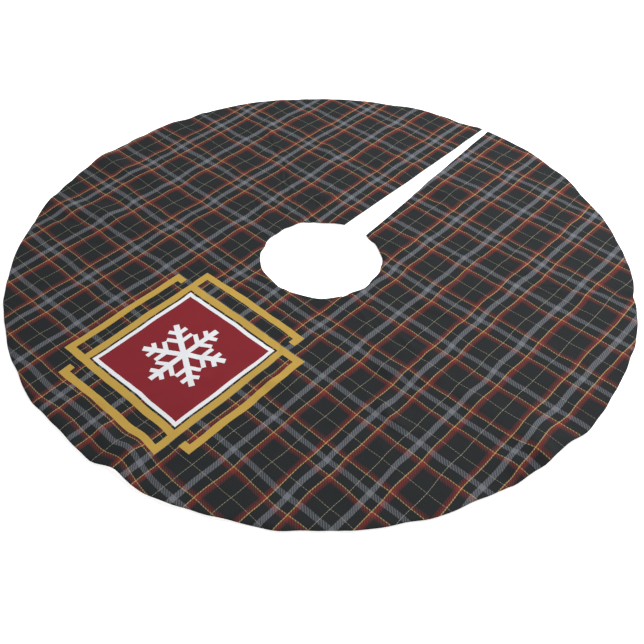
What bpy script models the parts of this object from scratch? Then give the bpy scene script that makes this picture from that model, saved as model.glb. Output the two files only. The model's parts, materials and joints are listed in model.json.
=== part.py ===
"""Round printed tree skirt with a trunk hole and one slit, lying spread out.

Origin: the middle of the trunk hole, on the floor. +Z is up, and the slit runs towards +Y.
The cloth is modelled as a main sector and two flaps beside the slit. Each flap lifts about a
radial fold line, the way the skirt is opened round a trunk. Every sector has a printed face
over a lining, with facing tape along its cut edges and a row of stitches beside each tape.
"""

from math import asin, cos, pi, radians, sin

import bmesh
import bpy

# Outline
SKIRT_RADIUS = 0.5588
HOLE_RADIUS = 0.107
SLIT_DIRECTION = radians(90)
# Distance from the slit's centre line to each edge. The right edge crosses the line.
LEFT_EDGE_AT_HOLE = 0.027
LEFT_EDGE_AT_RIM = 0.027
RIGHT_EDGE_AT_HOLE = 0.018
RIGHT_EDGE_AT_RIM = -0.0145

# Plies, from the floor up
LINING_THICKNESS = 0.0008
TAPE_THICKNESS = 0.0008
THREAD_THICKNESS = 0.0005
FACE_THICKNESS = 0.0008
PLY_GAP = 0.0003

# Edge finish
TAPE_WIDTH = 0.014
THREAD_WIDTH = 0.001
SEAM_GAP = 0.0003

# Flaps
FOLD_FROM_SLIT = radians(60)
FOLD_GAP = 0.0003

COLUMNS_PER_FLAP = 12

# Flutes of the main sector: it lies flat out to FLAT_RADIUS, then waves more towards the rim
FLAT_RADIUS = 0.27
FLUTE_COUNT = 8
FLUTE_HEIGHT = 0.012
COLUMNS_PER_FLUTE = 6
ROWS_IN_FLUTES = 3

LEFT = -1
RIGHT = 1
LEFT_FOLD = SLIT_DIRECTION + FOLD_FROM_SLIT
RIGHT_FOLD = SLIT_DIRECTION - FOLD_FROM_SLIT
SEAM_WIDTH = THREAD_WIDTH + 2 * SEAM_GAP
UNDER_THICKNESS = max(LINING_THICKNESS, TAPE_THICKNESS)
FACE_BOTTOM = UNDER_THICKNESS + PLY_GAP
HINGE_HEIGHT = FACE_BOTTOM + FACE_THICKNESS

# Radii at which the plies are cut
NECK_TAPE_RADIUS = HOLE_RADIUS + TAPE_WIDTH
LINING_INNER_RADIUS = NECK_TAPE_RADIUS + SEAM_WIDTH
RIM_TAPE_RADIUS = SKIRT_RADIUS - TAPE_WIDTH
LINING_OUTER_RADIUS = RIM_TAPE_RADIUS - SEAM_WIDTH


def clear_scene():
    for obj in list(bpy.data.objects):
        bpy.data.objects.remove(obj, do_unlink=True)


def new_collection(name):
    collection = bpy.data.collections.new(name)
    bpy.context.scene.collection.children.link(collection)
    return collection


def material(name, colour, roughness, sheen=0.0):
    made = bpy.data.materials.new(name)
    made.use_nodes = True
    shader = made.node_tree.nodes["Principled BSDF"]
    shader.inputs["Base Color"].default_value = (*colour, 1)
    shader.inputs["Roughness"].default_value = roughness
    shader.inputs["Metallic"].default_value = 0.0
    shader.inputs["Sheen Weight"].default_value = sheen
    made.diffuse_color = (*colour, 1)
    return made


def radial_line(angle, offset=0.0):
    """A line from the centre, or one parallel to it, as a function of radius that gives an angle."""
    return lambda radius: angle + asin(offset / radius)


def slit_line(side, inset=0.0):
    """The edge of the slit on one side, or a line that many metres into the cloth from it."""
    at_hole, at_rim = {
        LEFT: (LEFT_EDGE_AT_HOLE, LEFT_EDGE_AT_RIM),
        RIGHT: (RIGHT_EDGE_AT_HOLE, RIGHT_EDGE_AT_RIM),
    }[side]

    def angle(radius):
        share = (radius - HOLE_RADIUS) / (SKIRT_RADIUS - HOLE_RADIUS)
        distance = at_hole + share * (at_rim - at_hole) + inset
        return SLIT_DIRECTION - side * asin(distance / radius)

    return angle


def lines_between(first, last, count):
    """Lines that divide the space from first to last evenly, without either end."""

    def line(share):
        return lambda radius: first(radius) + share * (last(radius) - first(radius))

    return [line(number / count) for number in range(1, count)]


def flute_height(radius, angle):
    """How far the cloth stands off the floor, which is nothing on the flaps and at both folds."""
    past_fold = max(0.0, abs(angle - SLIT_DIRECTION) - FOLD_FROM_SLIT)
    flutes = FLUTE_COUNT * past_fold / (2 * pi - 2 * FOLD_FROM_SLIT)
    rise = max(0.0, (radius - FLAT_RADIUS) / (SKIRT_RADIUS - FLAT_RADIUS))
    return FLUTE_HEIGHT * rise * sin(pi * flutes) ** 2


def fluted_radii():
    step = (LINING_OUTER_RADIUS - FLAT_RADIUS) / ROWS_IN_FLUTES
    return [FLAT_RADIUS + step * number for number in range(ROWS_IN_FLUTES + 1)]


def cloth(name, lines, radii, bottom, thickness, look, collection, hinge=None):
    """A closed sheet of cloth whose grid follows the given lines and radii."""
    sheet = bmesh.new()
    bmesh.ops.create_grid(
        sheet, x_segments=len(lines) - 1, y_segments=len(radii) - 1, size=1.0
    )
    lowered = HINGE_HEIGHT if hinge else 0.0
    for vertex in sheet.verts:
        line = lines[round((vertex.co.x + 1) / 2 * (len(lines) - 1))]
        radius = radii[round((vertex.co.y + 1) / 2 * (len(radii) - 1))]
        angle = line(radius)
        height = bottom + flute_height(radius, angle) - lowered
        vertex.co = (radius * cos(angle), radius * sin(angle), height)
    bmesh.ops.triangulate(sheet, faces=sheet.faces, quad_method="FIXED")
    grown = bmesh.ops.extrude_face_region(
        sheet, geom=sheet.faces[:], use_keep_orig=True
    )
    raised = [item for item in grown["geom"] if isinstance(item, bmesh.types.BMVert)]
    bmesh.ops.translate(sheet, verts=raised, vec=(0, 0, thickness))
    bmesh.ops.recalc_face_normals(sheet, faces=sheet.faces)

    mesh = bpy.data.meshes.new(name)
    sheet.to_mesh(mesh)
    sheet.free()
    mesh.materials.append(look)
    mesh.shade_smooth()
    mesh.set_sharp_from_angle(angle=radians(40))
    obj = bpy.data.objects.new(name, mesh)
    obj.parent = hinge
    collection.objects.link(obj)
    return obj


def face(section, lines, looks, place):
    radii = [HOLE_RADIUS, *fluted_radii(), RIM_TAPE_RADIUS, SKIRT_RADIUS]
    cloth(f"face_{section}", lines, radii, FACE_BOTTOM, FACE_THICKNESS, looks["face"], **place)


def lining(section, lines, looks, place):
    radii = [LINING_INNER_RADIUS, *fluted_radii()]
    cloth(f"lining_{section}", lines, radii, 0.0, LINING_THICKNESS, looks["lining"], **place)


def edge_tapes(section, lines, looks, place):
    edges = {
        "neck": [HOLE_RADIUS, NECK_TAPE_RADIUS],
        "rim": [RIM_TAPE_RADIUS, SKIRT_RADIUS],
    }
    for edge, radii in edges.items():
        name = f"{edge}_tape_{section}"
        cloth(name, lines, radii, 0.0, TAPE_THICKNESS, looks["tape"], **place)


def edge_stitching(section, lines, looks, place):
    seams = {"neck": NECK_TAPE_RADIUS, "rim": LINING_OUTER_RADIUS}
    bottom = (UNDER_THICKNESS - THREAD_THICKNESS) / 2
    for edge, radius in seams.items():
        name = f"{edge}_stitching_{section}"
        radii = [radius + SEAM_GAP, radius + SEAM_GAP + THREAD_WIDTH]
        cloth(name, lines, radii, bottom, THREAD_THICKNESS, looks["thread"], **place)


def slit_finish(side, looks, place):
    """The facing tape along one edge of the slit, and the stitches beside it."""
    name = {LEFT: "left", RIGHT: "right"}[side]
    radii = [LINING_INNER_RADIUS, *fluted_radii()]
    tape = [slit_line(side, TAPE_WIDTH), slit_line(side)]
    cloth(f"slit_tape_{name}", tape, radii, 0.0, TAPE_THICKNESS, looks["tape"], **place)
    inset = TAPE_WIDTH + SEAM_GAP
    thread = [slit_line(side, inset + THREAD_WIDTH), slit_line(side, inset)]
    bottom = (UNDER_THICKNESS - THREAD_THICKNESS) / 2
    cloth(
        f"slit_stitching_{name}", thread, radii, bottom, THREAD_THICKNESS, looks["thread"], **place
    )


def build_main(looks, collection):
    """The sector away from the slit, from one fold line round to the other."""
    first = radial_line(LEFT_FOLD, FOLD_GAP / 2)
    last = radial_line(RIGHT_FOLD + 2 * pi, -FOLD_GAP / 2)
    lines = [first, *lines_between(first, last, FLUTE_COUNT * COLUMNS_PER_FLUTE), last]
    place = {"collection": collection}
    for make in (face, lining, edge_tapes, edge_stitching):
        make("main", lines, looks, place)


def build_flap(side, looks, collection):
    """The sector between one fold line and the slit. It turns about the fold line's top edge."""
    name = {LEFT: "left_flap", RIGHT: "right_flap"}[side]
    hinge = bpy.data.objects.new(f"{name}_hinge", None)
    hinge.location = (0, 0, HINGE_HEIGHT)
    hinge.empty_display_size = HOLE_RADIUS
    collection.objects.link(hinge)

    fold = {LEFT: LEFT_FOLD, RIGHT: RIGHT_FOLD}[side]
    first = radial_line(fold, side * FOLD_GAP / 2)
    last = slit_line(side, TAPE_WIDTH + SEAM_WIDTH)
    lining_lines = [first, *lines_between(first, last, COLUMNS_PER_FLAP), last]
    all_lines = [*lining_lines, slit_line(side, TAPE_WIDTH), slit_line(side)]
    place = {"collection": collection, "hinge": hinge}
    lining(name, lining_lines, looks, place)
    for make in (face, edge_tapes, edge_stitching):
        make(name, all_lines, looks, place)
    slit_finish(side, looks, place)


def main():
    clear_scene()
    collection = new_collection("tree_skirt")
    looks = {
        "face": material("printed_face_cloth", (0.012, 0.013, 0.014), 0.85, 0.3),
        "lining": material("white_lining_cloth", (0.80, 0.79, 0.76), 0.9, 0.2),
        "tape": material("facing_tape", (0.70, 0.69, 0.66), 0.85),
        "thread": material("sewing_thread", (0.60, 0.58, 0.54), 0.6),
    }
    build_main(looks, collection)
    build_flap(LEFT, looks, collection)
    build_flap(RIGHT, looks, collection)


main()
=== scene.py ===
"""Looks of the round printed tree skirt: cloth laid on a floor, in three sections that fold.

The whole skirt is one sheet over (angle, radius). It gets its ripples and creases, a cloth
simulation settles them on the floor, and every ply, tape and stitch is then laid on that one
surface, so that they keep clear of each other. Lengths are metres, and angles run anticlockwise
from +X. The slit is at +Y.
"""

import json
from math import cos, pi, radians, sin

import bpy
import numpy as np
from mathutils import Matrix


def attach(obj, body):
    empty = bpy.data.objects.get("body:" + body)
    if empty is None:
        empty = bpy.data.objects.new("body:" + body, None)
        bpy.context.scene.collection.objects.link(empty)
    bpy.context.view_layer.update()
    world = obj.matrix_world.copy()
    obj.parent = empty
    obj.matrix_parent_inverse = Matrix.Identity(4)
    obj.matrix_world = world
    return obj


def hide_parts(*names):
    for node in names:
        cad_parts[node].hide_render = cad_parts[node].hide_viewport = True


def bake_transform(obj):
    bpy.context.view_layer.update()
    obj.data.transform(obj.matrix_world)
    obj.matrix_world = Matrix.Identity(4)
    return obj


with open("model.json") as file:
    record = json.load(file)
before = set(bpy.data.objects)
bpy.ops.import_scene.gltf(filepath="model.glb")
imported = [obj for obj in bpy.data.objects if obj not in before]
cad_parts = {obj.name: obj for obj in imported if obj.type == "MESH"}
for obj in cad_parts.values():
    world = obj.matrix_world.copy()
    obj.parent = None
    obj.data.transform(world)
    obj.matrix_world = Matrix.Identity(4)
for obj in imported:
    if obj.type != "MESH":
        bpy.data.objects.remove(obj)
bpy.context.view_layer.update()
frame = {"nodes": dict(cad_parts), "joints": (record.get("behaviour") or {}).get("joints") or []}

MM = 0.001
TINY, NO_LENGTH = 1e-9, 1e-15
LEFT, RIGHT = -1, 1
FULL_TURN = 2 * pi
SLIT = pi / 2

# ---- Outline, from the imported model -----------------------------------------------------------

SAME_RADIUS = 0.2 * MM


def node_points(name):
    """Points of a CAD node's mesh."""
    return np.array([v.co for v in frame["nodes"][name].data.vertices], float)


def slit_edge(node, radius, side):
    """Distance from the slit's centre line to the cloth's edge at that radius."""
    points = node_points(node)
    there = np.abs(np.hypot(points[:, 0], points[:, 1]) - radius) < SAME_RADIUS
    return float((side * points[there, 0]).min())


face_radii = np.hypot(*node_points("face_main")[:, :2].T)
RIM, NECK = float(face_radii.max()), float(face_radii.min())
EDGE_AT = {
    LEFT: [slit_edge("face_left_flap", radius, LEFT) for radius in (NECK, RIM)],
    RIGHT: [slit_edge("face_right_flap", radius, RIGHT) for radius in (NECK, RIM)],
}
FOLDS = {}
for joint in frame["joints"]:
    x, y = joint["pos_m"][:2]
    FOLDS[LEFT if x < 0 else RIGHT] = float(np.arctan2(y, x))


def slit_line(side, inset, radius):
    """Angle of the line that lies inset metres into the cloth from one edge of the slit."""
    at_neck, at_rim = EDGE_AT[side]
    share = (radius - NECK) / (RIM - NECK)
    angle = np.arcsin((at_neck + share * (at_rim - at_neck) + inset) / radius)
    return SLIT + angle if side == LEFT else SLIT + FULL_TURN - angle


def smooth(x):
    """A smooth step from 0 at 0 to 1 at 1."""
    x = np.clip(x, 0, 1)
    return x * x * (3 - 2 * x)


def unit(vectors):
    """The vectors at a length of 1. One of no length stays so."""
    return vectors / np.maximum(np.linalg.norm(vectors, axis=-1, keepdims=True), NO_LENGTH)


# ---- The rippled sheet ------------------------------------------------------------------------

SHEET_COLUMNS, SHEET_ROWS = 380, 52
FLOOR_CLEARANCE = 0.4 * MM
# Ripples at the rim: crest angle and half width in degrees, height in mm before RIPPLE_GAIN,
# where it starts as a share of the way from the neck to the rim, and how far its foot leans
RIPPLE_GAIN = 1.2
RAMP_POWER, GENTLER_SIDE = 0.8, 0.4
RIPPLES = [
    (150, 9, 3.0, 0.45, 0.0),
    (168, 8, 3.5, 0.40, 0.1),
    (188, 7, 8.0, 0.45, -0.1),
    (206, 7, 8.0, 0.40, 0.2),
    (222, 6, 4.5, 0.55, 0.0),
    (239, 6, 3.5, 0.72, 0.2),
    (254, 4, 3.0, 0.78, 0.0),
    (266, 4, 3.0, 0.78, 0.0),
    (281, 4, 7.0, 0.76, 0.3),
    (290, 4, 5.5, 0.78, 0.0),
    (298, 4, 4.5, 0.78, 0.0),
    (309, 4, 1.5, 0.60, 0.1),
    (322, 5, 2.5, 0.62, 0.0),
    (336, 5, 4.0, 0.55, 0.1),
    (344, 2.5, 3.5, 0.82, 0.0),
    (350, 9, 9.0, 0.50, -0.6),
    (349, 2.5, 3.5, 0.80, 0.0),
    (354, 2.5, 3.0, 0.80, 0.0),
    (371, 6, 4.0, 0.55, 0.0),
    (387, 7, 4.0, 0.50, 0.2),
    (408, 8, 3.0, 0.45, 0.0),
    (426, 7, 2.0, 0.50, 0.0),
    (108, 7, 2.0, 0.45, 0.0),
    (128, 8, 2.5, 0.50, 0.1),
]
# Creases inside the skirt: from x, y to x, y and half width as shares of the rim's radius, and
# height in mm before CREASE_GAIN
CREASE_GAIN = 1.4
CREASE_BOW, CREASE_NARROWING = 0.12, 2
# How much of its length a crease runs on past its two ends, and how fast it rises there
CREASE_OVERRUN, CREASE_ENDS = 0.1, 2.5
CREASES = [
    (-0.21, 0.06, -0.46, 0.25, 0.040, 9.0),
    (-0.24, 0.00, -0.45, 0.08, 0.035, 4.0),
    (-0.30, 0.16, -0.18, 0.30, 0.030, 6.0),
    (0.10, 0.24, 0.30, 0.16, 0.040, 4.5),
    (0.42, -0.24, 0.62, -0.12, 0.045, 6.0),
    (0.52, -0.32, 0.66, -0.36, 0.035, 4.0),
    (0.32, 0.05, 0.52, 0.12, 0.040, 3.5),
    (-0.62, -0.12, -0.40, -0.30, 0.045, 4.0),
    (-0.12, -0.28, -0.05, -0.42, 0.035, 3.0),
    (0.20, -0.50, 0.34, -0.42, 0.040, 4.0),
    (0.05, 0.50, 0.16, 0.72, 0.040, 4.0),
    (-0.16, 0.46, -0.08, 0.66, 0.040, 4.0),
    (-0.45, 0.55, -0.30, 0.42, 0.045, 4.0),
    (0.45, 0.50, 0.60, 0.36, 0.045, 4.0),
    (0.02, -0.90, 0.20, -0.91, 0.040, 5.0),
    (0.86, -0.36, 0.93, -0.10, 0.055, 6.0),
    (0.13, -0.76, 0.13, -0.50, 0.035, 3.0),
]
# The inside of the skirt begins over these shares of the way, from the neck and from the rim
INSIDE_FROM_NECK, INSIDE_FROM_RIM = 0.25, 0.2
# Unevenness all over: shortest and longest wave in metres, and how many waves
SEED = 12
WAVE_PEAK = 1.4
SWELL = (0.08, 0.18, 16)
SWELL_AT_EDGE, SWELL_MORE_INSIDE = 0.4, 1.7
CRUMPLE, CRUMPLE_HEIGHT = (0.035, 0.08, 18), 0.8 * MM
CRUMPLE_AT_NECK, CRUMPLE_MORE_OUTWARD = 0.4, 0.6
# How the print wanders sideways, the same way
LONG_WANDER = (0.07, 0.22, 18)
SHORT_WANDER, SHORT_WANDER_SHARE = (0.035, 0.07, 18), 0.45
# The print wanders less round the printed panel and along the slit's edges: how near, and the
# share by which it does
PANEL_X, PANEL_Y = 0.003 * RIM, -0.588 * RIM
PANEL_CALM, PANEL_STILLNESS = 0.20, 0.75
SLIT_CALM, SLIT_STILLNESS = 45 * MM, 0.7
# The cloth is flatter along the fold lines of the flaps: how near, the share by which it is,
# and how far the flattest line lies into the flap, as a share of how near
FOLD_CALM, FOLD_FLATNESS, FOLD_SHIFT = 26 * MM, 0.9, 0.4
# The neck has stretched a little this way, and the rim lies a little further out in front
NECK_STRETCH, FRONT = radians(42), radians(313)
STRETCH = 3 * MM
# Where the trunk hole's edge isn't round: angle and half width in degrees, and mm towards the
# middle
NECK_BULGES = [
    (124, 30, 7.0),
    (135, 22, 4.0),
    (166, 14, 4.0),
    (182, 12, 4.0),
    (207, 10, 3.0),
    (262, 24, 4.0),
    (274, 9, 2.5),
    (352, 24, -2.0),
    (316, 26, -4.0),
    (381, 15, -5.0),
    (434, 14, 4.0),
]
# Scallops of the rim: mm, power of the way out, and turns of two waves with the second's shift
SCALLOPS = [
    (1.5, 3, 19, 7, 1),
    (1.0, 8, 53, 17, 2),
]
# Shares of the way out at which the rim's shape starts, over which it grows, and at which the
# neck's shape has faded
DRAWN_FROM, DRAWN_OVER, NECK_SHAPE_TO = 0.7, 0.3, 0.3
# Where the rim is drawn in: angle and half width in degrees, and mm towards the middle
DRAWN_IN = [
    (98, 5, 8.0),
    (104, 6, 4.0),
    (122, 26, 5.0),
    (136, 8, 4.0),
    (165, 4, 6.5),
    (177, 5, 4.0),
    (206, 6, 2.0),
    (252, 9, 2.0),
    (267, 12, 4.5),
    (280, 4, 10.0),
    (306, 5, -4.5),
    (317, 17, -3.0),
    (330, 6, -4.0),
    (353, 5, 4.0),
    (362, 7, -3.0),
    (380, 14, -2.5),
    (395, 4, -2.5),
    (409, 7, 3.0),
    (420, 9, 4.0),
]


def waves(rng, x, y, kind):
    """Sum of sine waves in random directions, about 1 at most."""
    shortest, longest, count = kind
    total = np.zeros_like(x)
    for _ in range(count):
        turn, phase = rng.uniform(0, FULL_TURN, 2)
        length = rng.uniform(shortest, longest)
        total += np.sin(FULL_TURN / length * (x * cos(turn) + y * sin(turn)) + phase)
    return total / count**0.5 / WAVE_PEAK


def sheet_grid():
    """Flat x and y of the sheet's grid, with its angle and radius."""
    radius = np.linspace(NECK, RIM, SHEET_ROWS)[None, :]
    first, last = slit_line(LEFT, 0, radius), slit_line(RIGHT, 0, radius)
    share = np.linspace(0, 1, SHEET_COLUMNS)[:, None]
    angle = first + share * (last - first)
    return radius * np.cos(angle), radius * np.sin(angle), angle, radius + 0 * angle


def hump(off):
    """A smooth hump, 1 at 0 and nothing from 1 outwards."""
    return np.cos(pi / 2 * np.clip(off, -1, 1)) ** 2


def relief(x, y, angle, outward):
    """Height of the ripples and creases."""
    height = np.zeros_like(x)
    for crest, half_width, rise, start, lean in RIPPLES:
        off = np.degrees(angle) - crest - lean * half_width * (1 - outward)
        off = off / half_width
        # The side that it leans to is steeper
        off = np.where(off * lean > 0, off * (1 + abs(lean)), off / (1 + GENTLER_SIDE * abs(lean)))
        ramp = smooth((outward - start) / (1 - start)) ** RAMP_POWER
        height += RIPPLE_GAIN * rise * MM * ramp * hump(off)
    for x0, y0, x1, y1, half_width, rise in CREASES:
        along_x, along_y = (x1 - x0) * RIM, (y1 - y0) * RIM
        length = np.hypot(along_x, along_y)
        along = ((x - x0 * RIM) * along_x + (y - y0 * RIM) * along_y) / length**2
        across = ((y - y0 * RIM) * along_x - (x - x0 * RIM) * along_y) / length
        across += CREASE_BOW * length * np.sin(pi * along)
        ends = smooth(CREASE_ENDS * (along + CREASE_OVERRUN))
        ends = ends * smooth(CREASE_ENDS * (1 + CREASE_OVERRUN - along))
        off = across / (half_width * RIM)
        height += CREASE_GAIN * rise * MM * ends * np.exp(-(off**2) * CREASE_NARROWING)
    return height


def drawn_in(angle, outward):
    """How far each point is drawn towards the middle."""
    drawn = np.zeros_like(angle)
    for middle, half_width, depth in DRAWN_IN:
        off = (np.degrees(angle) - middle) / half_width
        drawn += depth * MM * smooth((outward - DRAWN_FROM) / DRAWN_OVER) * hump(off)
    for depth, power, fast, slow, shift in SCALLOPS:
        size = depth * MM * outward**power
        drawn += size * np.sin(fast * angle) * np.sin(slow * angle + shift)
    near_neck = 1 - smooth(outward / NECK_SHAPE_TO)
    drawn -= STRETCH * near_neck * np.cos(angle - NECK_STRETCH) ** 2
    for middle, half_width, depth in NECK_BULGES:
        off = (np.degrees(angle) - middle) / half_width
        drawn += depth * MM * near_neck**2 * hump(off)
    drawn -= STRETCH * outward**2 * np.cos((angle - FRONT) / 2) ** 8
    return drawn


def rippled_sheet():
    """The sheet before it settles: its ripples, creases and slight unevenness."""
    x, y, angle, radius = sheet_grid()
    outward = (radius - NECK) / (RIM - NECK)
    height = relief(x, y, angle, outward)
    rng = np.random.default_rng(SEED)
    inside = smooth(outward / INSIDE_FROM_NECK) * smooth((1 - outward) / INSIDE_FROM_RIM)
    swell = (SWELL_AT_EDGE + SWELL_MORE_INSIDE * inside) * MM
    height += swell * (1 + waves(rng, x, y, SWELL))
    crumple = CRUMPLE_HEIGHT * waves(rng, x, y, CRUMPLE)
    height += crumple * (CRUMPLE_AT_NECK + CRUMPLE_MORE_OUTWARD * outward)
    for fold in FOLDS.values():
        past = (y * cos(fold) - x * sin(fold)) / FOLD_CALM
        ahead = smooth((x * cos(fold) + y * sin(fold)) / NECK)
        past = past - FOLD_SHIFT * np.sign(cos(fold))
        height *= 1 - FOLD_FLATNESS * ahead * np.exp(-(past**2))
    from_panel = np.hypot(x - PANEL_X, y - PANEL_Y) / PANEL_CALM
    from_slit = np.minimum(angle - angle[:1], angle[-1:] - angle) * radius / SLIT_CALM
    # The print wanders by 1 mm near the edges, and by 2 mm inside
    wander = (1.0 + inside) * MM * (1 - PANEL_STILLNESS * np.exp(-(from_panel**2)))
    wander *= 1 - SLIT_STILLNESS * np.exp(-(from_slit**2))
    wander_x = wander * waves(rng, x, y, LONG_WANDER)
    wander_y = wander * waves(rng, x, y, LONG_WANDER)
    wander_x += SHORT_WANDER_SHARE * wander * waves(rng, x, y, SHORT_WANDER)
    wander_y += SHORT_WANDER_SHARE * wander * waves(rng, x, y, SHORT_WANDER)
    kept = 1 - drawn_in(angle, outward) / radius
    height = np.maximum(height, 0) + FLOOR_CLEARANCE
    return np.stack([x * kept + wander_x, y * kept + wander_y, height], -1)


def grid_faces(columns, rows):
    """Quads of a grid whose points run row by row inside each column."""
    first = (np.arange(columns - 1)[:, None] * rows + np.arange(rows - 1)[None, :]).ravel()
    return np.stack([first, first + rows, first + rows + 1, first + 1], -1)


SETTLE_FRAMES = 18
MOST_SETTLING = 3.5 * MM


def settle(points):
    """Lets the sheet sag and slide under its own weight on a floor, by Blender's Cloth."""
    columns, rows = points.shape[:2]
    mesh = bpy.data.meshes.new("settling")
    mesh.from_pydata(points.reshape(-1, 3).tolist(), [], grid_faces(columns, rows).tolist())
    cloth = bpy.data.objects.new("settling", mesh)
    bpy.ops.mesh.primitive_plane_add(size=3)
    ground = bpy.context.object
    bpy.context.scene.collection.objects.link(cloth)
    ground.modifiers.new("ground", "COLLISION")
    ground.collision.thickness_outer = 0.2 * MM
    ground.collision.cloth_friction = 30
    made = cloth.modifiers.new("settling", "CLOTH")
    made.settings.quality = 6
    made.settings.mass = 0.15
    made.settings.tension_stiffness = 60
    made.settings.compression_stiffness = 60
    made.settings.shear_stiffness = 30
    made.settings.bending_stiffness = 4
    made.settings.air_damping = 2
    made.collision_settings.distance_min = 0.3 * MM
    made.collision_settings.use_self_collision = False
    made.point_cache.frame_start = 1
    made.point_cache.frame_end = SETTLE_FRAMES
    for number in range(1, SETTLE_FRAMES + 1):
        bpy.context.scene.frame_set(number)
    graph = bpy.context.evaluated_depsgraph_get()
    settled = np.empty(columns * rows * 3, np.float32)
    cloth.evaluated_get(graph).data.vertices.foreach_get("co", settled)
    bpy.context.scene.frame_set(1)
    for obj in (cloth, ground):
        bpy.data.objects.remove(obj, do_unlink=True)
    move = settled.reshape(points.shape).astype(float) - points
    far = np.linalg.norm(move, axis=-1, keepdims=True)
    move *= np.minimum(1, MOST_SETTLING / np.maximum(far, TINY))
    points = points + move
    points[..., 2] = np.maximum(points[..., 2], FLOOR_CLEARANCE)
    return points


def padded_ends(grid):
    """The grid with one more row and column on each side, carried on straight."""
    grid = np.concatenate([2 * grid[:1] - grid[1:2], grid, 2 * grid[-1:] - grid[-2:-1]], 0)
    return np.concatenate(
        [2 * grid[:, :1] - grid[:, 1:2], grid, 2 * grid[:, -1:] - grid[:, -2:-1]], 1
    )


sheet = rippled_sheet()
sheet = settle(sheet)
CONTROL = padded_ends(sheet)


def spline(position, count):
    """First control point, weights and weights of the slope of a cubic B-spline."""
    position = np.clip(position, 0, 1) * (count - 1)
    first = np.clip(position.astype(int), 0, count - 2)
    t = position - first
    weights = np.stack(
        [(1 - t) ** 3, 3 * t**3 - 6 * t**2 + 4, -3 * t**3 + 3 * t**2 + 3 * t + 1, t**3], -1
    )
    slopes = np.stack([-((1 - t) ** 2), 3 * t**2 - 4 * t, -3 * t**2 + 2 * t + 1, t**2], -1)
    return first, weights / 6, slopes / 2


def surface(angle, radius):
    """Point and normal of the settled sheet at that flat angle and radius."""
    first_edge, last_edge = slit_line(LEFT, 0, radius), slit_line(RIGHT, 0, radius)
    share = (angle - first_edge) / (last_edge - first_edge)
    i, wi, si = spline(share, SHEET_COLUMNS)
    j, wj, sj = spline((radius - NECK) / (RIM - NECK), SHEET_ROWS)
    near = CONTROL[i[..., None, None] + np.arange(4)[:, None], j[..., None, None] + np.arange(4)]
    point = np.einsum("...ijk,...i,...j->...k", near, wi, wj)
    round_it = np.einsum("...ijk,...i,...j->...k", near, si, wj)
    outward = np.einsum("...ijk,...i,...j->...k", near, wi, sj)
    return point, unit(np.cross(outward, round_it))


# ---- Plies laid on the sheet ------------------------------------------------------------------

TAPE_WIDTH, SEAM_BAND = 14.0 * MM, 1.6 * MM
PLY_EDGE = 0.45 * MM
EDGE_LINES = np.array([0, 0.03, 0.13, 0.28, 0.45, 1.0, 1.8, 2.8, 4.0, 5.5, 8.0, 11.0]) * MM
FINE_AT_SLIT, NARROW_PLY = 12 * MM, 2.2
SEAM_BEYOND_FOLD = 6 * MM
# A flap bends over this width, at this height and from this far out along its fold line
BEND_WIDTH, HINGE_HEIGHT, HINGE_RADIUS = 26 * MM, 1.9 * MM, 0.3
# Its columns start a little before the bend
BEND_COLUMNS, BEFORE_BEND = 24, 2 * MM
LEAST_HEIGHT = 0.02 * MM
# Lowest and highest of each ply, above the sheet's underside
LINING_PLY = (0.25 * MM, 0.85 * MM)
TAPE_PLY = (0.10 * MM, 0.85 * MM)
FACE_PLY = (0.95 * MM, 1.75 * MM)
ROLL_WIDTH, ROLL_DROP = 5 * MM, 1.05 * MM
# How far the face's edges and the tapes' edges sit inside the outline
FACE_INSET, TAPE_INSET = 0.0, 1.6 * MM
LINING_GAP = 0.2 * MM
SECTIONS = ("left_flap", "main", "right_flap")
FLAT_LAYER = "flat_cloth"
FAR = 1.0  # from the ends of a ply: well beyond the rounding there


def fold_line(side, inset, radius):
    """Angle of the line beside a fold, inset metres into the flap."""
    angle = np.arcsin(inset / radius)
    return FOLDS[LEFT] - angle if side == LEFT else FOLDS[RIGHT] + FULL_TURN + angle


def seam_line(side, radius):
    """Angle of the cut between a flap and the main section, just past the fold line."""
    return fold_line(side, -SEAM_BEYOND_FOLD, radius)


def edge_insets(width):
    """Distances from an edge at which a ply gets a line of points, closest at its rounding."""
    return EDGE_LINES[EDGE_LINES < width]


def line_radii(inner, outer, step):
    """Radii of a ply's rows, close together at its two edges."""
    width = outer - inner
    insets = edge_insets(width / NARROW_PLY)
    count = max(1, int(round((width - 2 * insets[-1]) / step)))
    middle = np.linspace(inner + insets[-1], outer - insets[-1], count + 1)
    return np.concatenate([inner + insets[:-1], middle, outer - insets[:-1][::-1]])


def lines_between(first, last, count):
    """Lines evenly spread between two others."""
    return [first + share * (last - first) for share in np.arange(1, count) / count]


def line_angles(radii, inset, steps):
    """Angles of a ply's columns, [column, row], where the two seams between sections are, and
    how far each column is from the ply's ends. inset is how far the ply keeps from the slit's
    edges, and steps is the number of columns in a flap and in the main section."""
    fine = edge_insets(FINE_AT_SLIT)
    left = [slit_line(LEFT, inset + e, radii) for e in fine]
    right = [slit_line(RIGHT, inset + e, radii) for e in fine]
    bend = np.linspace(BEND_WIDTH + BEFORE_BEND, -SEAM_BEYOND_FOLD, BEND_COLUMNS)
    left += lines_between(left[-1], fold_line(LEFT, bend[0], radii), steps[0])
    left += [fold_line(LEFT, b, radii) for b in bend]
    right += lines_between(right[-1], fold_line(RIGHT, bend[0], radii), steps[0])
    right += [fold_line(RIGHT, b, radii) for b in bend]
    lines = left + lines_between(left[-1], right[-1], steps[1]) + right[::-1]
    seams = [len(left) - 1, len(lines) - len(right)]
    ends = np.concatenate([fine, np.full(len(lines) - 2 * len(fine), FAR), fine[::-1]])
    return np.array(lines), seams, ends


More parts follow.
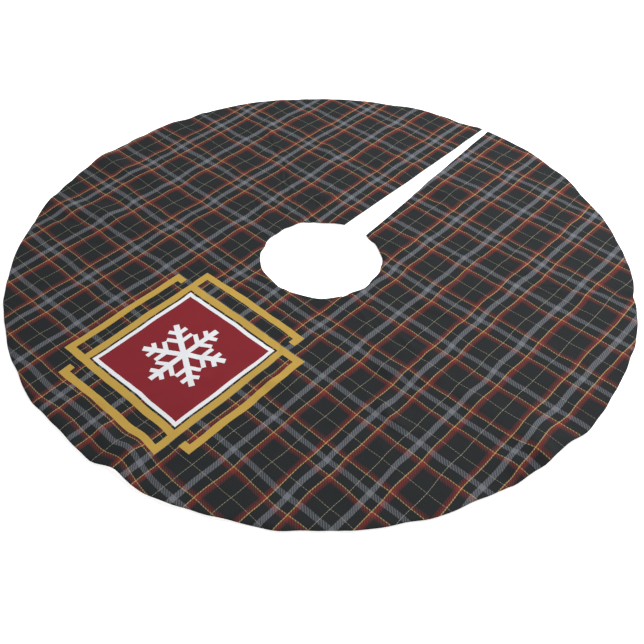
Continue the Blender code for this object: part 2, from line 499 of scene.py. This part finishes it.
def rounding(distance):
    """How much of a ply's thickness is left that far from its edge."""
    near = 1 - np.clip(distance / PLY_EDGE, 0, 1)
    return np.sqrt(np.clip(1 - near * near, 0, 1))


def rolled(distance):
    """How far the face turns down towards an edge of the skirt."""
    near = 1 - np.clip(distance / ROLL_WIDTH, 0, 1)
    return ROLL_DROP * (1 - np.sqrt(np.clip(1 - near * near, 0, 1)))


def build_mesh(name, points, faces, flat, corner_normals=None):
    """A piece of the scene. flat is where each point lay on the flat cloth, as a UV layer."""
    mesh = bpy.data.meshes.new(name)
    mesh.from_pydata(points.tolist(), [], faces)
    mesh.polygons.foreach_set("use_smooth", np.ones(len(mesh.polygons), bool))
    corners = np.empty(len(mesh.loops), np.int32)
    mesh.loops.foreach_get("vertex_index", corners)
    layer = mesh.uv_layers.new(name=FLAT_LAYER)
    layer.data.foreach_set("uv", flat[corners].astype(np.float32).ravel())
    if corner_normals is not None:
        mesh.normals_split_custom_set(corner_normals.tolist())
    obj = bpy.data.objects.new(name, mesh)
    bpy.context.scene.collection.objects.link(obj)
    return obj


class Ply:
    """One layer of cloth on the sheet: closed, with rounded edges, cut into sections."""

    def __init__(self, angles, radii, ply, from_ends, roll=None):
        columns, rows = angles.shape
        radius = radii[None, :] + 0 * angles
        from_edge = np.minimum(radius - radii[0], radii[-1] - radius)
        from_edge = np.minimum(from_edge, from_ends[:, None])
        low, high = ply
        middle, half = (low + high) / 2, (high - low) / 2 * rounding(from_edge)
        if roll is not None:
            middle = middle - rolled(roll(radius, from_ends[:, None]))
        point, normal = surface(angles, radius)
        top = point + normal * (middle + half)[..., None]
        bottom = point + normal * (middle - half)[..., None]
        bottom[..., 2] = np.maximum(bottom[..., 2], LEAST_HEIGHT)
        self.points = np.concatenate([top, bottom[:, ::-1]], 1)
        flat = np.stack([radius * np.cos(angles), radius * np.sin(angles)], -1)
        self.flat = np.concatenate([flat, flat[:, ::-1]], 1)
        self.columns, self.rows = columns, rows
        # Where top and bottom meet, at the edges, they share their points
        self.index = np.arange(columns * 2 * rows).reshape(columns, 2 * rows)
        closed = (from_edge < TINY)[:, ::-1]
        on_top = self.index[:, rows - 1 :: -1]
        self.index[:, rows:] = np.where(closed, on_top, self.index[:, rows:])
        self.normals = self.point_normals()

    def quads(self, first, last):
        """Faces between two columns, as numbers of points in the whole ply."""
        here, there = self.index[first:last], self.index[first + 1 : last + 1]
        quads = [here, np.roll(here, -1, 1), np.roll(there, -1, 1), there]
        return np.stack(quads, -1).reshape(-1, 4)

    def point_normals(self):
        """Normals of all points, from the whole ply, so that its sections meet smoothly."""
        points = self.points.reshape(-1, 3)
        quads = self.quads(0, self.columns - 1)
        across = points[quads[:, 2]] - points[quads[:, 0]]
        along = points[quads[:, 3]] - points[quads[:, 1]]
        area = np.cross(across, along)
        total = np.zeros_like(points)
        for corner in range(4):
            np.add.at(total, quads[:, corner], area)
        return unit(total)

    def section(self, name, first, last, cap_first=False, cap_last=False):
        """The piece from one column to another, with its cut ends closed."""
        faces = [tuple(dict.fromkeys(q)) for q in self.quads(first, last).tolist()]
        faces = [f for f in faces if len(f) > 2]
        smooth_count = len(faces)
        for column, capped, flip in ((first, cap_first, False), (last, cap_last, True)):
            if not capped:
                continue
            ring = self.index[column]
            for j in range(self.rows - 1):
                quad = [ring[j], ring[-1 - j], ring[-2 - j], ring[j + 1]]
                quad = list(dict.fromkeys(quad[::-1] if flip else quad))
                if len(quad) > 2:
                    faces.append(tuple(quad))
        used = np.unique([p for f in faces for p in f])
        new = np.full(self.points.shape[0] * self.points.shape[1], -1)
        new[used] = np.arange(len(used))
        points = self.points.reshape(-1, 3)
        normals = []
        for number, f in enumerate(faces):
            if number < smooth_count:
                normals.extend(self.normals[list(f)])
            else:
                a, b, c = points[list(f[:3])]
                normals.extend([unit(np.cross(b - a, c - b))] * len(f))
        return build_mesh(
            name,
            points[used],
            [tuple(int(new[p]) for p in f) for f in faces],
            self.flat.reshape(-1, 2)[used],
            np.array(normals),
        )


def flap_side(piece):
    """Bakes the placement of a flap's piece into its mesh."""
    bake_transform(piece)


def dress(piece, section, node, material):
    """Gives a piece its material and hides the CAD node that it stands for. A piece of the main
    section goes on the main section's body; a flap's piece has its placement baked in.
    """
    piece.data.materials.append(material)
    if section == "main":
        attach(piece, "skirt_main")
    else:
        flap_side(piece)
    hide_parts(node)
    return piece


def in_sections(ply, seams, name, node, material):
    """A ply that goes all the way round, as its three pieces by section."""
    cuts = [0, *seams, ply.columns - 1]
    made = {}
    for number, section in enumerate(SECTIONS):
        piece = ply.section(
            f"{name}_{section}", cuts[number], cuts[number + 1], number > 0, number < 2
        )
        made[section] = dress(piece, section, f"{node}_{section}", material)
    return made


# ---- Materials --------------------------------------------------------------------------------

CLOTH_SPECULAR, SHEEN_ROUGHNESS = 0.06, 0.5
# Weaves of the lining and the tapes: their unevenness, as a noise's scale and detail, how much
# the weave and the unevenness each show in the colour, and how much it shows in the roughness
WOVEN_PATCHES = (60.0, 4.0)
WEAVE_SHARE, PATCH_SHARE, PATCH_ROUGHNESS = 0.10, 0.35, 0.12


class Nodes:
    """Short calls that add nodes to a material and join them."""

    def __init__(self, name, roughness, sheen=0.0):
        self.material = bpy.data.materials.new(name)
        self.material.use_nodes = True
        self.tree = self.material.node_tree
        self.shader = self.tree.nodes["Principled BSDF"]
        self.shader.inputs["Roughness"].default_value = roughness
        self.shader.inputs["Sheen Weight"].default_value = sheen
        self.shader.inputs["Sheen Roughness"].default_value = SHEEN_ROUGHNESS
        self.shader.inputs["Specular IOR Level"].default_value = CLOTH_SPECULAR

    def put(self, socket, value):
        """Joins a socket to another node's output, or sets it to a number or a colour."""
        if isinstance(value, bpy.types.NodeSocket):
            self.tree.links.new(value, socket)
        elif isinstance(value, tuple) and len(value) == 3 and socket.type == "RGBA":
            socket.default_value = (*value, 1)
        else:
            socket.default_value = value

    def math(self, operation, *values):
        node = self.tree.nodes.new("ShaderNodeMath")
        node.operation = operation
        for socket, value in zip(node.inputs, values):
            self.put(socket, value)
        return node.outputs[0]

    def mix(self, share, first, second, kind="MIX"):
        node = self.tree.nodes.new("ShaderNodeMix")
        node.data_type = "RGBA"
        node.blend_type = kind
        self.put(node.inputs[0], share)
        self.put(node.inputs[6], first)
        self.put(node.inputs[7], second)
        return node.outputs[2]

    def grey(self, value):
        node = self.tree.nodes.new("ShaderNodeCombineColor")
        for socket in node.inputs:
            self.put(socket, value)
        return node.outputs[0]

    def bands(self, share, stops):
        """Colour bands with hard edges, from where each of them starts."""
        node = self.tree.nodes.new("ShaderNodeValToRGB")
        node.color_ramp.interpolation = "CONSTANT"
        elements = node.color_ramp.elements
        while len(elements) < len(stops):
            elements.new(1.0)
        for element, (position, colour) in zip(elements, stops):
            element.position = position
            element.color = (*colour, 1)
        self.put(node.inputs[0], share)
        return node.outputs[0]

    def flat_xy(self):
        """Where the point was on the cloth when it was printed, in metres."""
        uv = self.tree.nodes.new("ShaderNodeUVMap")
        uv.uv_map = FLAT_LAYER
        parts = self.tree.nodes.new("ShaderNodeSeparateXYZ")
        self.put(parts.inputs[0], uv.outputs[0])
        return uv.outputs[0], parts.outputs[0], parts.outputs[1]

    def noise(self, where, scale, detail=2.0):
        node = self.tree.nodes.new("ShaderNodeTexNoise")
        self.put(node.inputs["Vector"], where)
        node.inputs["Scale"].default_value = scale
        node.inputs["Detail"].default_value = detail
        return node.outputs[0]

    def bump(self, height, strength, distance):
        node = self.tree.nodes.new("ShaderNodeBump")
        node.inputs["Strength"].default_value = strength
        node.inputs["Distance"].default_value = distance
        self.put(node.inputs["Height"], height)
        self.put(self.shader.inputs["Normal"], node.outputs[0])

    def within(self, value, low, high):
        """1 where value is between low and high, else 0."""
        return self.math("COMPARE", value, (low + high) / 2, (high - low) / 2)

    def either(self, *masks):
        result = masks[0]
        for mask in masks[1:]:
            result = self.math("MAXIMUM", result, mask)
        return result

    def both(self, first, second):
        return self.math("MULTIPLY", first, second)


def linear(red, green, blue):
    """An 8-bit screen colour as Blender's linear one."""
    return tuple(
        c / 12.92 if c <= 0.04045 else ((c + 0.055) / 1.055) ** 2.4
        for c in (red / 255, green / 255, blue / 255)
    )


GROUND = linear(39, 42, 44)
GREY = linear(115, 118, 124)
RED = linear(130, 52, 49)
YELLOW = linear(196, 168, 108)
CREAM = linear(173, 168, 141)
GOLD = linear(189, 155, 74)
PANEL_RED = linear(131, 38, 46)
WHITE = linear(228, 230, 233)

# The tartan
REPEAT = 0.344 * RIM
FIRST_YELLOW_X, FIRST_YELLOW_Y = 0.390 * RIM, -0.066 * RIM
SETT_SHIFT = 0.08  # so that the first yellow line isn't at the repeat's end


def faded(share):
    """Red faded into the ground colour."""
    return tuple(r * share + g * (1 - share) for r, g in zip(RED, GROUND))


# Bands of one repeat: where each starts, as a share of the repeat from the first yellow line
SETT = [
    (-0.004, YELLOW),
    (0.004, RED),
    (0.024, faded(0.75)),
    (0.038, faded(0.4)),
    (0.050, GROUND),
    (0.190, CREAM),
    (0.196, GROUND),
    (0.334, faded(0.4)),
    (0.346, faded(0.75)),
    (0.358, RED),
    (0.372, YELLOW),
    (0.380, GROUND),
    (0.455, GREY),
    (0.502, GROUND),
    (0.573, YELLOW),
    (0.581, RED),
    (0.598, faded(0.75)),
    (0.610, faded(0.4)),
    (0.622, GROUND),
    (0.769, CREAM),
    (0.775, GROUND),
    (0.870, GREY),
    (0.920, GROUND),
]
SETT_STOPS = [(0.0, GROUND)] + [(at + SETT_SHIFT, colour) for at, colour in SETT]
# Twill: slanting lines of weft between the warp, how far apart and how much of that is warp,
# and how much weft shows in the warp's lines and how much more in the weft's
TWILL_PITCH, WARP_LINE = 4.8 * MM, 0.52
LEAST_WEFT, MORE_WEFT = 0.20, 0.46
RIB_PITCH, RIB_SHARE = 1.6 * MM, 0.25
PRINT_SMOOTHEST, PRINT_ROUGHER = 0.66, 0.16
# Noises of the cloth, as scale and detail: its grain, its nap, worn patches and dull ones
GRAIN, NAP, WORN_PATCHES, DULL_PATCHES = (900.0, 3.0), (520.0, 3.0), (9.0, 4.0), (25.0, 2.0)
GRAIN_CONTRAST, GRAIN_DARKEST = 1.8, 0.03
WORN, WORN_SHARE = (0.02, 0.02, 0.02), 0.12

# The panel: sizes are from its middle to an outer edge, or widths
PANEL_STRETCH = 0.98
PANEL_HALF, BORDER = 0.184 * RIM, 0.0125 * RIM
BAR = 0.0235 * RIM
INNER_FRAME, OUTER_FRAME = 0.214 * RIM, 0.280 * RIM
HOOK = 0.041 * RIM
ARM, ARM_HALF, TWIG_HALF = 0.125 * RIM, 0.0085 * RIM, 0.0068 * RIM
# Where each pair of twigs leaves an arm, and its length, as shares of the arm
TWIGS = ((0.42, 0.34), (0.70, 0.24))
COS_60, SIN_60 = 0.5, 0.8660


def snowflake(n, u, v):
    """A six-armed snowflake's mask, from one arm mirrored round."""
    from_middle = n.math("SQRT", n.math("ADD", n.both(u, u), n.both(v, v)))
    turn = n.math("ARCTAN2", u, v)
    sixth = n.math("PINGPONG", n.math("ADD", turn, FULL_TURN), pi / 6)
    along = n.both(from_middle, n.math("COSINE", sixth))
    across = n.both(from_middle, n.math("SINE", sixth))
    masks = [n.both(n.within(across, -ARM_HALF, ARM_HALF), n.within(along, 0, ARM))]
    for at, length in TWIGS:
        ahead = n.math("SUBTRACT", along, at * ARM)
        beside = n.math("SUBTRACT", n.both(ahead, SIN_60), n.both(across, COS_60))
        reach = n.math("ADD", n.both(ahead, COS_60), n.both(across, SIN_60))
        masks.append(
            n.both(n.within(beside, -TWIG_HALF, TWIG_HALF), n.within(reach, 0, length * ARM))
        )
    return n.either(*masks)


def tartan(n, place, x, y):
    """Colour of the tartan: the same sett both ways, woven in a twill, with a speckled grain."""
    threads = []
    for value, turned, first in ((x, 1, FIRST_YELLOW_X), (y, -1, FIRST_YELLOW_Y)):
        # Ten repeats more, so that the share is taken of a number above 0
        start = 10 + SETT_SHIFT - turned * first / REPEAT
        share = n.math("FRACT", n.math("MULTIPLY_ADD", value, turned / REPEAT, start))
        threads.append(n.bands(share, SETT_STOPS))
    slant = n.math("FRACT", n.math("MULTIPLY", n.math("ADD", x, y), 1 / TWILL_PITCH))
    in_weft = n.math("GREATER_THAN", slant, WARP_LINE)
    cloth = n.mix(n.math("MULTIPLY_ADD", in_weft, MORE_WEFT, LEAST_WEFT), *threads)
    speckle = n.math("MULTIPLY_ADD", n.noise(place, *GRAIN), GRAIN_CONTRAST, GRAIN_DARKEST)
    return n.mix(1.0, cloth, n.grey(speckle), "MULTIPLY")


def gold_frame(n, u, v, out):
    """Mask of the frame round the panel: a square, and four hooked bars that turn round it."""
    upright = n.math("GREATER_THAN", n.math("ABSOLUTE", v), n.math("ABSOLUTE", u))
    if_upright = n.both(u, n.math("SIGN", v))
    if_lying = n.both(n.both(v, n.math("SIGN", u)), -1.0)
    along = n.math(
        "ADD",
        n.both(if_upright, upright),
        n.both(if_lying, n.math("SUBTRACT", 1.0, upright)),
    )
    return n.either(
        n.within(out, INNER_FRAME - BAR, INNER_FRAME),
        n.both(
            n.within(out, OUTER_FRAME - BAR, OUTER_FRAME),
            n.within(along, -INNER_FRAME, INNER_FRAME),
        ),
        n.both(
            n.within(out, INNER_FRAME, OUTER_FRAME),
            n.within(along, -INNER_FRAME, BAR - INNER_FRAME),
        ),
        n.both(
            n.within(out, OUTER_FRAME - HOOK, OUTER_FRAME),
            n.within(along, INNER_FRAME - BAR, INNER_FRAME),
        ),
    )


def printed_cloth():
    """The face: brushed cloth with the tartan and the panel printed on it."""
    n = Nodes("printed_face_cloth", roughness=0.78, sheen=0.025)
    place, x, y = n.flat_xy()
    u = n.math("SUBTRACT", x, PANEL_X)
    v = n.both(n.math("SUBTRACT", y, PANEL_Y), PANEL_STRETCH)
    out = n.math("MAXIMUM", n.math("ABSOLUTE", u), n.math("ABSOLUTE", v))
    in_border = n.math("LESS_THAN", out, PANEL_HALF)
    in_red = n.math("LESS_THAN", out, PANEL_HALF - BORDER)
    colour = n.mix(gold_frame(n, u, v, out), tartan(n, place, x, y), GOLD)
    colour = n.mix(in_border, colour, WHITE)
    colour = n.mix(in_red, colour, PANEL_RED)
    colour = n.mix(n.both(snowflake(n, u, v), in_red), colour, WHITE)
    worn = n.math("MULTIPLY", n.noise(place, *WORN_PATCHES), WORN_SHARE)
    colour = n.mix(worn, colour, WORN)
    n.put(n.shader.inputs["Base Color"], colour)
    uneven = n.noise(place, *DULL_PATCHES)
    n.put(
        n.shader.inputs["Roughness"],
        n.math("MULTIPLY_ADD", uneven, PRINT_ROUGHER, PRINT_SMOOTHEST),
    )
    ribs = n.math("SINE", n.math("MULTIPLY", n.math("ADD", x, y), FULL_TURN / RIB_PITCH))
    nap = n.math("ADD", n.math("MULTIPLY", ribs, RIB_SHARE), n.noise(place, *NAP))
    n.bump(nap, strength=0.35, distance=0.5 * MM)
    return n.material


def woven(name, colour, shade, pitch, roughness):
    """Plain woven cloth: threads over and under in both directions."""
    n = Nodes(name, roughness, sheen=0.1)
    place, x, y = n.flat_xy()
    threads = [n.math("SINE", n.math("MULTIPLY", value, FULL_TURN / pitch)) for value in (x, y)]
    weave = n.both(*threads)
    uneven = n.noise(place, *WOVEN_PATCHES)
    patches = n.math("MULTIPLY", uneven, PATCH_SHARE)
    share = n.math("MULTIPLY_ADD", weave, WEAVE_SHARE, patches)
    n.put(n.shader.inputs["Base Color"], n.mix(share, colour, shade))
    smoothest = roughness - PATCH_ROUGHNESS / 2
    n.put(
        n.shader.inputs["Roughness"],
        n.math("MULTIPLY_ADD", uneven, PATCH_ROUGHNESS, smoothest),
    )
    n.bump(weave, strength=0.5, distance=0.25 * MM)
    return n.material


def twisted_thread(colour, shade, pitch):
    """Sewing thread with its twist slanting along it."""
    n = Nodes("sewing_thread", roughness=0.45, sheen=0.3)
    _, x, y = n.flat_xy()
    twist = n.math("SINE", n.math("MULTIPLY", n.math("ADD", x, y), FULL_TURN / pitch))
    share = n.math("MULTIPLY_ADD", twist, 0.3, 0.4)
    n.put(n.shader.inputs["Base Color"], n.mix(share, colour, shade))
    n.bump(twist, strength=0.6, distance=0.1 * MM)
    return n.material


PRINTED = printed_cloth()
LINING = woven("lining_cloth", linear(206, 205, 200), linear(184, 183, 178), 1.1 * MM, 0.8)
TAPE = woven("facing_tape", linear(194, 192, 186), linear(168, 166, 160), 0.8 * MM, 0.7)
THREAD = twisted_thread(linear(168, 166, 160), linear(122, 120, 115), 0.5 * MM)

# ---- The pieces -------------------------------------------------------------------------------

COLUMNS = (58, 270)  # in a flap and in the main section
# How far apart the rows of points are
FACE_STEP, LINING_STEP, RING_TAPE_STEP = 7.5 * MM, 9 * MM, 4 * MM
SLIT_TAPE_STEPS = (2.5 * MM, 6 * MM)


def ring_ply(inner, outer, inset, step, ply, roll=None):
    """A ply that goes all the way round, and the columns of its seams."""
    radii = line_radii(inner, outer, step)
    angles, seams, ends = line_angles(radii, inset, COLUMNS)
    return Ply(angles, radii, ply, ends, roll), seams


def face_roll(radius, from_end):
    """How far a point of the face is from the edge that it rolls down at."""
    return np.minimum(np.minimum(radius - NECK, RIM - radius), from_end)


face, face_seams = ring_ply(NECK, RIM, FACE_INSET, FACE_STEP, FACE_PLY, face_roll)
faces = in_sections(face, face_seams, "printed_cloth", "face", PRINTED)

lining, lining_seams = ring_ply(
    NECK + TAPE_WIDTH + LINING_GAP,
    RIM - TAPE_WIDTH - LINING_GAP,
    TAPE_WIDTH + LINING_GAP,
    LINING_STEP,
    LINING_PLY,
)
linings = in_sections(lining, lining_seams, "lining_cloth", "lining", LINING)

# The tapes and stitches that are sewn to each section's lining
going_along = {section: [] for section in SECTIONS}


def add_facing(name, node, inner, outer):
    """The tape round the trunk hole or the rim, between the tapes of the slit."""
    inset = TAPE_WIDTH + LINING_GAP
    tape, seams = ring_ply(inner, outer, inset, RING_TAPE_STEP, TAPE_PLY)
    made = in_sections(tape, seams, name, node, TAPE)
    for section, piece in made.items():
        going_along[section].append(piece)


add_facing("neck_facing", "neck_tape", NECK + TAPE_INSET, NECK + TAPE_WIDTH)
add_facing("rim_facing", "rim_tape", RIM - TAPE_WIDTH, RIM - TAPE_INSET)


def add_slit_facing(side):
    """The tape along one edge of the slit, from the trunk hole to the rim."""
    section, word = ("left_flap", "left") if side == LEFT else ("right_flap", "right")
    insets = line_radii(TAPE_INSET, TAPE_WIDTH, SLIT_TAPE_STEPS[0])
    radii = line_radii(NECK + TAPE_INSET, RIM - TAPE_INSET, SLIT_TAPE_STEPS[1])
    ends = np.minimum(insets - insets[0], insets[-1] - insets)
    lines = np.array([slit_line(side, inset, radii) for inset in insets])
    if side == RIGHT:
        lines, ends = lines[::-1], ends[::-1]
    tape = Ply(lines, radii, TAPE_PLY, ends)
    piece = tape.section(f"slit_facing_{word}", 0, tape.columns - 1)
    going_along[section].append(dress(piece, section, f"slit_tape_{word}", TAPE))


add_slit_facing(LEFT)
add_slit_facing(RIGHT)

# Rings of points of a stitch: how far along it, how deep in the cloth, and radius, in mm
STITCH_RINGS = [
    (-1.35, 0.42, 0.10),
    (-1.05, 0.20, 0.20),
    (-0.4, 0.0, 0.24),
    (0.4, 0.0, 0.24),
    (1.05, 0.20, 0.20),
    (1.35, 0.42, 0.10),
]
STITCH_SIDES = 6
STITCH_PITCH = 3.3 * MM
STITCH_HEIGHT = 0.3 * MM
THREAD_RADIUS = 0.24 * MM
STEP_AHEAD = 0.2 * MM
LEAST_STITCH_HEIGHT = 0.01 * MM
FROM_CORNER = 2 * MM


def stitch_row(name, length, place):
    """A row of stitches. place gives flat angle and radius at a distance along the row."""
    count = int((length - STITCH_PITCH) / STITCH_PITCH)
    middles = (np.arange(count) + 0.5) * (length / count)
    rings = np.array(STITCH_RINGS) * MM
    along = middles[:, None] + rings[None, :, 0]
    angle, radius = place(along)
    point, normal = surface(angle, radius)
    ahead, _ = surface(*place(along + STEP_AHEAD))
    side = np.cross(normal, unit(ahead - point))
    height = STITCH_HEIGHT + rings[None, :, 1]
    centre = point + normal * height[..., None]
    turn = np.arange(STITCH_SIDES) * FULL_TURN / STITCH_SIDES
    width = rings[None, :, 2, None, None]
    round_it = (
        side[:, :, None] * np.cos(turn)[None, None, :, None]
        + normal[:, :, None] * np.sin(turn)[None, None, :, None]
    )
    points = (centre[:, :, None] + round_it * width).reshape(-1, 3)
    points[:, 2] = np.maximum(points[:, 2], LEAST_STITCH_HEIGHT)
    flat = np.stack([along, 0 * along], -1)[:, :, None]
    flat = flat + np.stack([0 * turn, turn * THREAD_RADIUS], -1)
    size, faces = len(rings) * STITCH_SIDES, []
    for first in range(0, count * size, size):
        for ring in range(first, first + size - STITCH_SIDES, STITCH_SIDES):
            for k in range(STITCH_SIDES):
                a, b = ring + k, ring + (k + 1) % STITCH_SIDES
                faces.append((a, b, b + STITCH_SIDES, a + STITCH_SIDES))
        faces.append(tuple(range(first + STITCH_SIDES - 1, first - 1, -1)))
        faces.append(tuple(range(first + size - STITCH_SIDES, first + size)))
    return build_mesh(name, points, faces, flat.reshape(-1, 2))


def add_ring_stitches(name, node, radius):
    """A row of stitches round the trunk hole or the rim, in its three sections."""
    ends = [
        slit_line(LEFT, TAPE_WIDTH + SEAM_BAND, radius),
        seam_line(LEFT, radius),
        seam_line(RIGHT, radius),
        slit_line(RIGHT, TAPE_WIDTH + SEAM_BAND, radius),
    ]
    for number, section in enumerate(SECTIONS):
        start, length = ends[number], (ends[number + 1] - ends[number]) * radius
        row = stitch_row(
            f"{name}_{section}",
            length,
            lambda along, start=start: (start + along / radius, radius + 0 * along),
        )
        going_along[section].append(dress(row, section, f"{node}_{section}", THREAD))


def add_slit_stitches(side):
    """A row of stitches along one edge of the slit."""
    section, word = ("left_flap", "left") if side == LEFT else ("right_flap", "right")
    first, last = NECK + FROM_CORNER, RIM - FROM_CORNER

    def place(along):
        radius = np.clip(first + along, NECK, RIM)
        return slit_line(side, TAPE_WIDTH + SEAM_BAND / 2, radius), radius

    row = stitch_row(f"slit_stitches_{word}", last - first, place)
    going_along[section].append(dress(row, section, f"slit_stitching_{word}", THREAD))


add_ring_stitches("neck_stitches", "neck_stitching", NECK + TAPE_WIDTH + SEAM_BAND / 2)
add_ring_stitches("rim_stitches", "rim_stitching", RIM - TAPE_WIDTH - SEAM_BAND / 2)
add_slit_stitches(LEFT)
add_slit_stitches(RIGHT)

# ---- Stage, light and camera ------------------------------------------------------------------

FLOOR_SIZE, FLOOR_DEPTH, FLOOR_GLOW = 60, 0.2 * MM, 0.66
FLOOR_GREYS, FLOOR_NOISE = ((0.90, 0.90, 0.90), (0.93, 0.93, 0.93)), 3.0
BACKDROP_RADIUS, BACKDROP_GLOW = 29, 0.96
WORLD_LIGHT = 0.31
KEY_AT, KEY_SIZE, KEY_POWER = (0.3, 2.2, 2.6), 1.0, 145
CAMERA_AT, CAMERA_TARGET = (0.775, -0.838, 0.989), (0.1137, -0.1187, 0)
CAMERA_LENS, CAMERA_SENSOR = 46.07, 36


def glowing(name, roughness, strength):
    """A dull material that glows white, as an overexposed ground does."""
    n = Nodes(name, roughness)
    n.shader.inputs["Emission Color"].default_value = (1, 1, 1, 1)
    n.shader.inputs["Emission Strength"].default_value = strength
    return n


bpy.ops.mesh.primitive_plane_add(size=FLOOR_SIZE, location=(0, 0, -FLOOR_DEPTH))
floor = bpy.context.object
floor.name = "floor"
paper = glowing("floor_paper", roughness=0.9, strength=FLOOR_GLOW)
paper.shader.inputs["Specular IOR Level"].default_value = 0.0
where = paper.tree.nodes.new("ShaderNodeTexCoord").outputs["Object"]
patches = paper.noise(where, FLOOR_NOISE)
paper.put(paper.shader.inputs["Base Color"], paper.mix(patches, *FLOOR_GREYS))
floor.data.materials.append(paper.material)

# A white backdrop all round, which the camera sees but which lights nothing
bpy.ops.mesh.primitive_uv_sphere_add(segments=48, ring_count=24, radius=BACKDROP_RADIUS)
backdrop = bpy.context.object
backdrop.name = "backdrop"
white = glowing("backdrop_white", roughness=1.0, strength=BACKDROP_GLOW)
white.put(white.shader.inputs["Base Color"], (0.0, 0.0, 0.0))
backdrop.data.materials.append(white.material)
backdrop.visible_diffuse = backdrop.visible_glossy = backdrop.visible_shadow = False
backdrop.visible_transmission = backdrop.visible_volume_scatter = False

world = bpy.data.worlds.new("studio")
bpy.context.scene.world = world
world.use_nodes = True
world.node_tree.nodes["Background"].inputs["Color"].default_value = (1, 1, 1, 1)
world.node_tree.nodes["Background"].inputs["Strength"].default_value = WORLD_LIGHT


def aim(name, data, location, target):
    """Puts a light or a camera in the scene, turned towards a target."""
    obj = bpy.data.objects.new(name, data)
    obj.location = location
    toward = type(obj.location)(target) - obj.location
    obj.rotation_euler = toward.to_track_quat("-Z", "Y").to_euler()
    bpy.context.scene.collection.objects.link(obj)
    return obj


key = bpy.data.lights.new("key", "AREA")
key.shape, key.size, key.energy = "DISK", KEY_SIZE, KEY_POWER
aim("key", key, KEY_AT, (0, 0, 0))

lens = bpy.data.cameras.new("camera")
lens.lens, lens.sensor_width = CAMERA_LENS, CAMERA_SENSOR
bpy.context.scene.camera = aim("camera", lens, CAMERA_AT, CAMERA_TARGET)
bpy.context.scene.view_settings.view_transform = "Standard"

# ---- Flat cuts of the face and the lining -----------------------------------------------------


def flat_cut(piece):
    """Width and length of the cloth's flat cut, and its area: half the closed ply's."""
    layer = piece.data.uv_layers[FLAT_LAYER].data
    uv = np.empty(2 * len(layer), np.float32)
    layer.foreach_get("uv", uv)
    uv = uv.reshape(-1, 2).astype(float)
    size = uv.max(0) - uv.min(0)
    area = 0.0
    for polygon in piece.data.polygons:
        corners = uv[polygon.loop_start : polygon.loop_start + polygon.loop_total]
        following = np.roll(corners, -1, 0)
        area += abs(np.sum(corners[:, 0] * following[:, 1] - following[:, 0] * corners[:, 1]))
    return tuple(float(x) for x in size), float(area / 4)


for section in SECTIONS:
    face_piece, lining_piece = faces[section], linings[section]
    flat, area = flat_cut(face_piece)
    flat, area = flat_cut(lining_piece)
